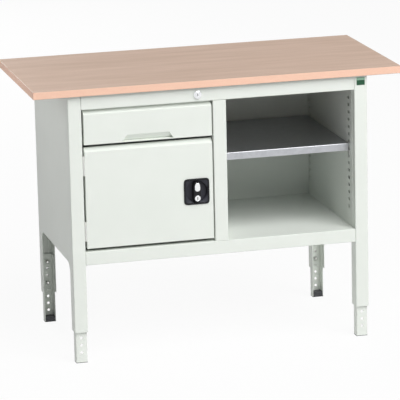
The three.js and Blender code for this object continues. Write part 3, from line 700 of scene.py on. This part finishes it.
# Powers of the rounded squares from the outer edge to the dish: a higher one is squarer.
RIM_SQUARE = 9
RIM_INSIDE_SQUARE = 8
RIM_FALL_SQUARE = 7.5
DISH_SQUARE = 5
CUP_RADIUS = 37 * MM
CUP_OUTSIDE = 39 * MM
CUP_FLOOR = 2 * MM
CUP_FILLET = 3 * MM
# The fillet's inset and rise, in shares of its radius, from the cup's wall to its floor.
CUP_ROUNDING = [(0.1, 1.0), (0.4, 0.4), (1.0, 0.0)]
CUP_EDGE = 1 * MM
PLATE_DEPTH = 2.7 * MM
# The middle of a rounded edge, in shares of its radius from the corner.
EASED = 0.3
SPINDLE_HOLE = 5.3 * MM
PLATE_SIDES = 144


def axis_of(low, high):
    """Where a piece's axis, from front to back, crosses the plane y = 0."""
    return Vector(((low.x + high.x) / 2, 0, (low.z + high.z) / 2))


def placed(shape, offset):
    """The shape, moved by an offset."""
    bmesh.ops.translate(shape, verts=shape.verts, vec=offset)
    return shape


low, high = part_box("handle_plate")
handle_centre = axis_of(low, high)
half_x, half_z = (high.x - low.x) / 2, (high.z - low.z) / 2
plate_back = low.y + PLATE_DEPTH
floor_front = high.y - CUP_FLOOR


def plate_ring(inset, along, square):
    """The plate's outline, drawn in by an inset, rounder with a lower power."""
    return oval(half_x - inset, half_z - inset, along, square, PLATE_SIDES)


def cup_ring(radius, along):
    """A round ring with as many points as the plate's outline."""
    return oval(radius, radius, along, 2, PLATE_SIDES)


plate_rings = [
    plate_ring(0, plate_back, RIM_SQUARE),
    plate_ring(0, low.y + RIM_EDGE, RIM_SQUARE),
    plate_ring(EASED * RIM_EDGE, low.y + EASED * RIM_EDGE, RIM_SQUARE),
    plate_ring(RIM_EDGE, low.y, RIM_SQUARE),
    plate_ring(RIM_WIDTH - RIM_EDGE, low.y, RIM_INSIDE_SQUARE),
    plate_ring(RIM_WIDTH - EASED * RIM_EDGE, low.y + EASED * RIM_EDGE, RIM_FALL_SQUARE),
    plate_ring(RIM_WIDTH, low.y + RIM_EDGE, DISH_SQUARE),
    cup_ring(CUP_RADIUS, plate_back),
    *[
        cup_ring(CUP_RADIUS - inset * CUP_FILLET, floor_front - rise * CUP_FILLET)
        for inset, rise in CUP_ROUNDING
    ],
    cup_ring(SPINDLE_HOLE, floor_front),
    cup_ring(SPINDLE_HOLE, high.y),
    cup_ring(CUP_OUTSIDE - CUP_EDGE, high.y),
    cup_ring(CUP_OUTSIDE, high.y - CUP_EDGE),
    cup_ring(CUP_OUTSIDE, plate_back),
]
plate_shape = placed(lofted(plate_rings, closed=True), handle_centre)
black_plastic = moulded("moulded_black", BLACK, BLACK_WORN)
dish_plastic = moulded("moulded_grey", DISH, DISH_WORN)
handle_plate = piece_of("handle_plate_moulding", plate_shape, black_plastic, dish_plastic)
for polygon in handle_plate.data.polygons:
    off = polygon.center - handle_centre
    inside_rim = abs(off.x) < half_x - RIM_WIDTH and abs(off.z) < half_z - RIM_WIDTH
    polygon.material_index = int(inside_rim)
fit(handle_plate, "handle_plate")

# Handle grip: a moulded black plastic bar with rounded edges on a round hub and spindle, turned by hand to
# work the latch, with a well in its lower end for the lock.
GRIP_SQUARE = 3.2
GRIP_EDGE = 3 * MM
# The rounded edge's inset and depth, in shares of its radius, from the face to the side.
GRIP_ROUNDING = [(1.0, 0.0), (0.6, 0.1), (0.22, 0.4), (0.0, 1.0)]
GRIP_SINK = 18 * MM
GRIP_WAIST = 0.6 * MM
GRIP_BACK_EDGE = 1 * MM
HUB_RADIUS = 11.8 * MM
HUB_END = 23.7 * MM
SPINDLE_RADIUS = 5 * MM
SPINDLE_CHAMFER = 0.5 * MM
LOCK_DROP = 21 * MM
LOCK_WELL = 9.98 * MM
LOCK_WELL_DEPTH = 14 * MM
OVERSHOOT = 1 * MM

low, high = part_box("handle_grip")
half_x, half_z = (high.x - low.x) / 2, (high.z - low.z) / 2


def grip_ring(inset, depth):
    """The bar's outline, drawn in by an inset, at a depth behind its face."""
    return oval(half_x - inset, half_z - inset, low.y + depth, GRIP_SQUARE, PLATE_SIDES)


grip_rings = [
    [(0, low.y, 0)],
    grip_ring(half_x / 2, 0),
    *[grip_ring(inset * GRIP_EDGE, depth * GRIP_EDGE) for inset, depth in GRIP_ROUNDING],
    grip_ring(GRIP_WAIST, GRIP_SINK / 2),
    grip_ring(0, GRIP_SINK - GRIP_BACK_EDGE),
    grip_ring(GRIP_BACK_EDGE, GRIP_SINK),
    cup_ring(HUB_RADIUS, low.y + GRIP_SINK),
    cup_ring(HUB_RADIUS, low.y + HUB_END),
    cup_ring(SPINDLE_RADIUS, low.y + HUB_END),
    cup_ring(SPINDLE_RADIUS, high.y - SPINDLE_CHAMFER),
    cup_ring(SPINDLE_RADIUS - SPINDLE_CHAMFER, high.y),
    [(0, high.y, 0)],
]
handle_grip = piece_of("handle_grip_moulding", placed(lofted(grip_rings), handle_centre), black_plastic)


def cut_away(piece, shape):
    """Cuts a shape out of the piece."""
    cutter = piece_of("cutter", shape)
    cutting = piece.modifiers.new("cut", "BOOLEAN")
    cutting.operation = "DIFFERENCE"
    cutting.solver = "EXACT"
    cutting.object = cutter
    settle(piece)
    bpy.data.objects.remove(cutter)
    piece.data.set_sharp_from_angle(angle=CREASE)


well = lofted(turned([(LOCK_WELL, low.y - OVERSHOOT), (LOCK_WELL, low.y + LOCK_WELL_DEPTH)]))
cut_away(handle_grip, placed(well, handle_centre - Vector((0, 0, LOCK_DROP))))
fit(handle_grip, "handle_grip")

# Thumb pad: a small button in the shape of a blunt egg, cast, plated bright and set on the upper end of
# the grip, with a crowned face and eased edges.
PAD_TAPER = 0.1
PAD_SQUARE = 2.5
# The outline's size and the depth behind the crown, in shares of the whole, from the grip forward.
PAD_PROFILE = [(0.9, 1.0), (0.94, 0.8), (0.94, 0.5), (0.9, 0.22), (0.8, 0.08), (0.5, 0.0)]
CHROME = colour(246, 247, 248)
CHROME_SOFT = colour(236, 238, 240)

chrome = metal(
    "chrome_plating",
    CHROME,
    CHROME_SOFT,
    clouds=90,
    grains=900,
    grain_depth=0.004 * MM,
    smooth=0.14,
    spread=0.12,
)

low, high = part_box("handle_thumb_pad")
pad_rise = high.y - low.y
half_x, half_z = (high.x - low.x) / 2, (high.z - low.z) / 2


def pad_ring(size, along):
    """The egg's outline at a share of its full size."""
    ring = oval(size * half_x, size * half_z, along, PAD_SQUARE, PLATE_SIDES)
    return [(x * (1 - PAD_TAPER * z / half_z), y, z) for x, y, z in ring]


pad_rings = [
    [(0, high.y, 0)],
    *[pad_ring(size, low.y + share * pad_rise) for size, share in PAD_PROFILE],
    [(0, low.y, 0)],
]
thumb_pad = piece_of("handle_thumb_pad_button", placed(lofted(pad_rings), axis_of(low, high)), chrome)
fit(thumb_pad, "handle_thumb_pad")

# Door lock: a plated key plug in the grip's well, turned from bar, with a groove round its core and a
# broached keyway.
PLUG_EDGE = 0.6 * MM
PLUG_EASED = 0.2
CORE_SHARE = 0.72
CORE_GROOVE = 0.5 * MM
KEYWAY_WIDTH = 2.4 * MM
KEYWAY_DEPTH = 4 * MM
KEYWAY_SHOULDER = 0.4
# The keyway's near-black steel is painted shade: the dark of the narrow slot is put into its colour.
KEYWAY_PAINTED_SHADE = colour(38, 38, 40)
KEYWAY_PAINTED_SHADE_PALE = colour(56, 56, 58)

keyway_painted_shade = metal(
    "keyway_painted_shade",
    KEYWAY_PAINTED_SHADE,
    KEYWAY_PAINTED_SHADE_PALE,
    clouds=400,
    grains=900,
    grain_depth=0.01 * MM,
    smooth=0.45,
    spread=0.2,
)


def lock_plug(node):
    """A turned key plug with an upright keyway, in the node's place."""
    low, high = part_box(node)
    radius = (high.x - low.x) / 2
    core = CORE_SHARE * radius
    profile = [
        (core - CORE_GROOVE, low.y),
        (core, low.y + CORE_GROOVE),
        (core + CORE_GROOVE, low.y),
        (radius - PLUG_EDGE, low.y),
        (radius - PLUG_EASED * PLUG_EDGE, low.y + EASED * PLUG_EDGE),
        (radius, low.y + PLUG_EDGE),
        (radius, high.y),
    ]
    centre = axis_of(low, high)
    plug = piece_of(f"{node}_turned", placed(lofted(turned(profile)), centre), chrome, keyway_painted_shade)
    half, rise = KEYWAY_WIDTH / 2, radius / 2
    shoulder = (half, rise * KEYWAY_SHOULDER)
    keyway = [(-half, -rise), (half, -rise), shoulder, (half / 2, rise), (-half, rise)]
    points = [(centre.x + x, low.y - OVERSHOOT, centre.z + z) for x, z in keyway]
    cut_away(plug, prism(points, (0, OVERSHOOT + KEYWAY_DEPTH, 0)))
    # The faces inside the keyway take the painted shade.
    for polygon in plug.data.polygons:
        off = polygon.center - centre
        in_keyway = abs(off.x) < half + CUT_EDGE and abs(off.z) < rise + CUT_EDGE
        polygon.material_index = int(in_keyway and polygon.center.y > low.y + CUT_EDGE)
    fit(plug, node)


lock_plug("door_lock_plug")

# Latch: a zinc plated cam on the end of the handle's spindle that swings behind the post, held by a
# hexagon screw.
LATCH_EDGE = 0.6 * MM

folded("latch_cam", CUT_EDGE, LATCH_EDGE, zinc)
folded("latch_screw", CUT_EDGE, LATCH_EDGE, zinc)

# Drawer lock: a plated barrel with a proud flange through the top rail, its key plug, and a cam that
# drops behind the drawer front.
FLANGE_EDGE = 1.2 * MM
FLANGE_DEPTH = 5 * MM
BARREL_RADIUS = 10.5 * MM
BARREL_BORE = 7.8 * MM
BORE_CHAMFER = 0.3 * MM

low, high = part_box("top_lock_barrel")
flange = (high.x - low.x) / 2
barrel_profile = [
    (BARREL_BORE, low.y + BORE_CHAMFER),
    (BARREL_BORE + BORE_CHAMFER, low.y),
    (flange - FLANGE_EDGE, low.y),
    (flange - EASED * FLANGE_EDGE, low.y + EASED * FLANGE_EDGE),
    (flange, low.y + FLANGE_EDGE),
    (flange, low.y + FLANGE_DEPTH),
    (BARREL_RADIUS, low.y + FLANGE_DEPTH),
    (BARREL_RADIUS, high.y),
    (BARREL_BORE, high.y),
]
barrel_shape = lofted([oval(radius, radius, along) for radius, along in barrel_profile], closed=True)
barrel = piece_of("top_lock_barrel_turned", placed(barrel_shape, axis_of(low, high)), chrome)
fit(barrel, "top_lock_barrel")
lock_plug("top_lock_plug")
folded("top_lock_cam", CUT_EDGE, LATCH_EDGE, zinc)

# Worktop: a 25 mm beech multiplex board, thin veneers glued crosswise, with a sanded and oiled face, its
# edges left showing the plies and broken by hand. A darker, unsanded sheet backs it underneath.
TOP_EDGE = 1.6 * MM
PLIES = 13
# The top's beech is set darker than the plies' beech. That difference is painted shade on the top and painted
# light on the edges, for light falling more on the front than on the top. The plies' stripes and glue lines
# are the wood's own.
TOP_BEECH_AND_PAINTED_SHADE = colour(204, 176, 157)
BEECH_DARK = colour(184, 154, 132)
BEECH_PORE = colour(161, 127, 109)
BACKING = colour(150, 138, 126)
BACKING_DARK = colour(130, 117, 105)
BACKING_PORE = colour(104, 90, 78)
PLY_LONG_AND_PAINTED_LIGHT = colour(250, 214, 190)
PLY_END_AND_PAINTED_LIGHT = colour(242, 192, 168)
GLUE = colour(196, 134, 108)
GRAIN_DEPTH = 0.05 * MM
PLY_DEPTH = 0.04 * MM
SEAM_REACH = 0.1
SEAM_STRENGTH = 0.6
# How far up or down a face looks, from 0 to 1, for it to be a veneer and not an edge.
FACING = 0.7

board_low, board_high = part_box("worktop")


def ramp(wire, value, start, end, low, high):
    """From low to high as the value goes from start to end."""
    return wire.node("ShaderNodeMapRange", {}, {0: value, 1: start, 2: end, 3: low, 4: high})


def veneer(name, fresh, dark, pore):
    """A sheet of beech, figured along the board and flecked with pores."""

    def surface(wire, place):
        waves = noise(wire, place, scale=9, detail=4, stretch=(0.35, 3.2, 1))
        figure = ramp(wire, waves, start=0.32, end=0.68, low=0.0, high=1.0)
        streak = noise(wire, place, scale=60, detail=3, stretch=(0.12, 4, 1))
        fleck = noise(wire, place, scale=240, detail=1, stretch=(0.5, 5, 1))
        pores = ramp(wire, fleck, start=0.62, end=0.8, low=0.0, high=0.55)
        wood = blend(wire, 0.55 * figure + 0.45 * streak, fresh, dark)
        tone = blend(wire, pores, wood, pore)
        return shader(wire, tone, 0.42 + 0.2 * streak, streak - 0.5 * pores, GRAIN_DEPTH)

    return finish(name, surface)


def plies_surface(wire, place):
    height = wire.node("ShaderNodeSeparateXYZ", {}, {"Vector": place}, "Z")
    waver = noise(wire, place, scale=14, detail=2)
    layer = PLIES / (board_high.z - board_low.z) * (height - board_low.z) + 0.12 * waver
    fraction = wire.calc("FRACT", layer)
    odd = wire.calc("MODULO", wire.calc("FLOOR", layer), 2.0)
    seam = ramp(wire, wire.calc("PINGPONG", layer, 0.5), 0.0, SEAM_REACH, SEAM_STRENGTH, 0.0)
    grain = noise(wire, place, scale=220, detail=3, stretch=(0.3, 0.3, 3))
    # The plies' colours carry painted light on the board's edges.
    wood = blend(wire, 0.75 * odd + 0.25 * grain, PLY_LONG_AND_PAINTED_LIGHT, PLY_END_AND_PAINTED_LIGHT)
    tone = blend(wire, seam, wood, GLUE)
    return shader(wire, tone, 0.5 + 0.2 * grain, fraction + grain, PLY_DEPTH)


face = veneer("beech_veneer", TOP_BEECH_AND_PAINTED_SHADE, BEECH_DARK, BEECH_PORE)
plies = finish("beech_plies", plies_surface)
backing = veneer("beech_backing", BACKING, BACKING_DARK, BACKING_PORE)

board = blank_of(frame["nodes"]["worktop"])
worktop = rolled("worktop_board", board, CUT_EDGE, TOP_EDGE, face, plies, backing)
for polygon in worktop.data.polygons:
    upward = polygon.normal.z
    polygon.material_index = 0 if upward > FACING else 2 if upward < -FACING else 1
fit(worktop, "worktop")

# Worktop screws: zinc plated steel wood screws with pan heads and a cross recess, driven up through the
# rails' flanges into the board.
SCREW_HEAD = 6 * MM
SCREW_HEAD_HEIGHT = 3 * MM
SCREW_SHANK = 2.4 * MM
SCREW_THREAD = 1.8 * MM
SCREW_PLAIN = 2 * MM
SCREW_COLUMNS = 3
SCREW_ROWS = 2
# In shares of the shank's radius.
SCREW_ROOT = 0.75
SCREW_TAPER = 0.7
SCREW_POINT = 0.15
# The head's radius and height, in shares of the whole, from its crown to its seat.
SCREW_CROWN = [(0.5, 0.0), (0.85, 0.2), (1.0, 0.6), (1.0, 1.0)]
RECESS = 3.2 * MM
RECESS_WIDTH = 1.2 * MM
RECESS_DEPTH = 1.6 * MM

low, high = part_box("worktop_screw_1")
first = (low + high) / 2
last = sum(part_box("worktop_screw_6"), Vector()) / 2
screw_length = high.z - low.z
screw_profile = [(wide * SCREW_HEAD, deep * SCREW_HEAD_HEIGHT) for wide, deep in SCREW_CROWN]
screw_profile.append((SCREW_SHANK, SCREW_HEAD_HEIGHT))
thread = SCREW_HEAD_HEIGHT + SCREW_PLAIN
while thread + SCREW_THREAD < screw_length - SCREW_PLAIN:
    screw_profile += [(SCREW_ROOT * SCREW_SHANK, thread), (SCREW_SHANK, thread + SCREW_THREAD / 2)]
    thread += SCREW_THREAD
screw_profile += [(SCREW_TAPER * SCREW_SHANK, thread), (SCREW_POINT * SCREW_SHANK, screw_length)]
screw = piece_of("worktop_screw", lofted(turned(screw_profile)), zinc)
for wide, tall in ((RECESS, RECESS_WIDTH / 2), (RECESS_WIDTH / 2, RECESS)):
    recess = [(-wide, -tall), (wide, -tall), (wide, tall), (-wide, tall)]
    points = [(x, -OVERSHOOT, z) for x, z in recess]
    cut_away(screw, prism(points, (0, OVERSHOOT + RECESS_DEPTH, 0)))
screw.data.transform(Matrix.Rotation(math.radians(90), 4, "X"))
screws = piece_of("worktop_screws", bmesh.new())
run(
    fastening,
    screws,
    {
        "Fastener": screw,
        "Finish": zinc,
        "First": (first.x, first.y, low.z),
        "Step": ((last.x - first.x) / (SCREW_COLUMNS - 1), 0, 0),
        "Columns": SCREW_COLUMNS,
        "Across": (0, (last.y - first.y) / (SCREW_ROWS - 1), 0),
        "Rows": SCREW_ROWS,
    },
)
bpy.data.objects.remove(screw)
fit(screws, *[f"worktop_screw_{number + 1}" for number in range(SCREW_COLUMNS * SCREW_ROWS)])

# Badge: a small plain plate stuck to the right leg under the worktop, printed green with a paler band
# along its upper edge.
BADGE_EDGE = 0.4 * MM
BADGE_GREEN = colour(14, 76, 46)
BADGE_PALE = colour(146, 188, 164)
BADGE_DEPTH = 0.01 * MM
BAND_SHARE = 0.36
BAND_BLUR = 0.3 * MM

badge_low, badge_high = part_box("badge_plate")
band_start = badge_high.z - BAND_SHARE * (badge_high.z - badge_low.z)


def badge_surface(wire, place):
    height = wire.node("ShaderNodeSeparateXYZ", {}, {"Vector": place}, "Z")
    cloud = noise(wire, place, scale=300, detail=2)
    band = ramp(wire, height, band_start - BAND_BLUR, band_start + BAND_BLUR, 0.0, 1.0)
    tone = blend(wire, band, BADGE_GREEN, BADGE_PALE)
    return shader(wire, tone, 0.32 + 0.1 * cloud, cloud, BADGE_DEPTH)


badge_print = finish("badge_print", badge_surface)
folded("badge_plate", CUT_EDGE, BADGE_EDGE, badge_print)

# Studio: a wide pale floor in dim white surroundings, with one very large soft lamp high to the front and
# right, a small one close to the left end and one behind.
WHITE = (1.0, 1.0, 1.0, 1.0)
FLOOR_SIZE = 60
FLOOR_TONE = colour(240, 240, 240)
FLOOR_SHADE = colour(236, 236, 236)
FLOOR_WHITE = 0.93
SKY = 0.08
LAMP_AIM = Vector((0, 0, 0.5))
# Each lamp's place and width in metres, and its power in watts.
LAMPS = {
    "key": (Vector((2.1, -5.3, 6.7)), 8.0, 770),
    "side": (Vector((-1.15, -0.05, 1.1)), 0.5, 0.9),
    "rear": (Vector((-1.5, 6.5, 2.2)), 3.0, 150),
}


def shown_white(wire):
    """1 for rays that show the surroundings, straight or in metal and plastic, and 0 for those that light."""
    rays = ("Is Camera Ray", "Is Glossy Ray", "Is Transmission Ray")
    camera, glossy, through = (wire.node("ShaderNodeLightPath", {}, {}, ray) for ray in rays)
    return wire.calc("MINIMUM", camera + glossy + through, 1.0)


def floor_surface(wire, place):
    cloud = noise(wire, place, scale=0.8, detail=2)
    lit = wire.node(
        "ShaderNodeBsdfPrincipled",
        {},
        {"Base Color": blend(wire, cloud, FLOOR_TONE, FLOOR_SHADE), "Roughness": 0.85 + 0.1 * cloud},
    )
    white = wire.node("ShaderNodeEmission", {}, {"Strength": 1.0})
    return wire.node("ShaderNodeMixShader", {}, {0: FLOOR_WHITE * shown_white(wire), 1: lit, 2: white})


half = FLOOR_SIZE / 2
floor_shape = bmesh.new()
floor_points = [(-half, -half, 0), (half, -half, 0), (half, half, 0), (-half, half, 0)]
floor_shape.faces.new([floor_shape.verts.new(point) for point in floor_points])
floor = piece_of("studio_floor", floor_shape, finish("studio_floor", floor_surface))

world = bpy.data.worlds.new("studio")
world.use_nodes = True
world.node_tree.nodes.clear()
sky = Wire(world.node_tree)
backdrop = sky.node(
    "ShaderNodeBackground",
    {},
    {"Color": WHITE, "Strength": SKY + (1 - SKY) * shown_white(sky)},
)
sky.node("ShaderNodeOutputWorld", {}, {"Surface": backdrop}, None)
bpy.context.scene.world = world

for name, (place, size, power) in LAMPS.items():
    light = bpy.data.lights.new(name, "AREA")
    light.shape = "DISK"
    light.size = size
    light.energy = power
    lamp = bpy.data.objects.new(name, light)
    lamp.location = place
    lamp.rotation_euler = (LAMP_AIM - place).to_track_quat("-Z", "Y").to_euler()
    bpy.context.scene.collection.objects.link(lamp)

# Camera: a long lens far in front of the bench, to its left and above it, so that the front shows nearly
# square and the left end as a narrow strip.
CAMERA_PLACE = Vector((-2.359, -9.207, 2.795))
CAMERA_YAW = math.radians(-14.37)
CAMERA_PITCH = math.radians(13.85)
CAMERA_ROLL = math.radians(-1.29)
CAMERA_LENS = 257.9
CAMERA_SENSOR = 36
CAMERA_REACH = 100

yaw = Matrix.Rotation(CAMERA_YAW, 4, "Z")
pitch = Matrix.Rotation(math.radians(90) - CAMERA_PITCH, 4, "X")
roll = Matrix.Rotation(CAMERA_ROLL, 4, "Z")
camera_data = bpy.data.cameras.new("camera")
camera_data.lens = CAMERA_LENS
camera_data.sensor_width = CAMERA_SENSOR
camera_data.clip_end = CAMERA_REACH
camera = bpy.data.objects.new("camera", camera_data)
camera.matrix_world = Matrix.Translation(CAMERA_PLACE) @ yaw @ pitch @ roll
bpy.context.scene.collection.objects.link(camera)
bpy.context.scene.camera = camera
bpy.context.scene.view_settings.view_transform = "Standard"
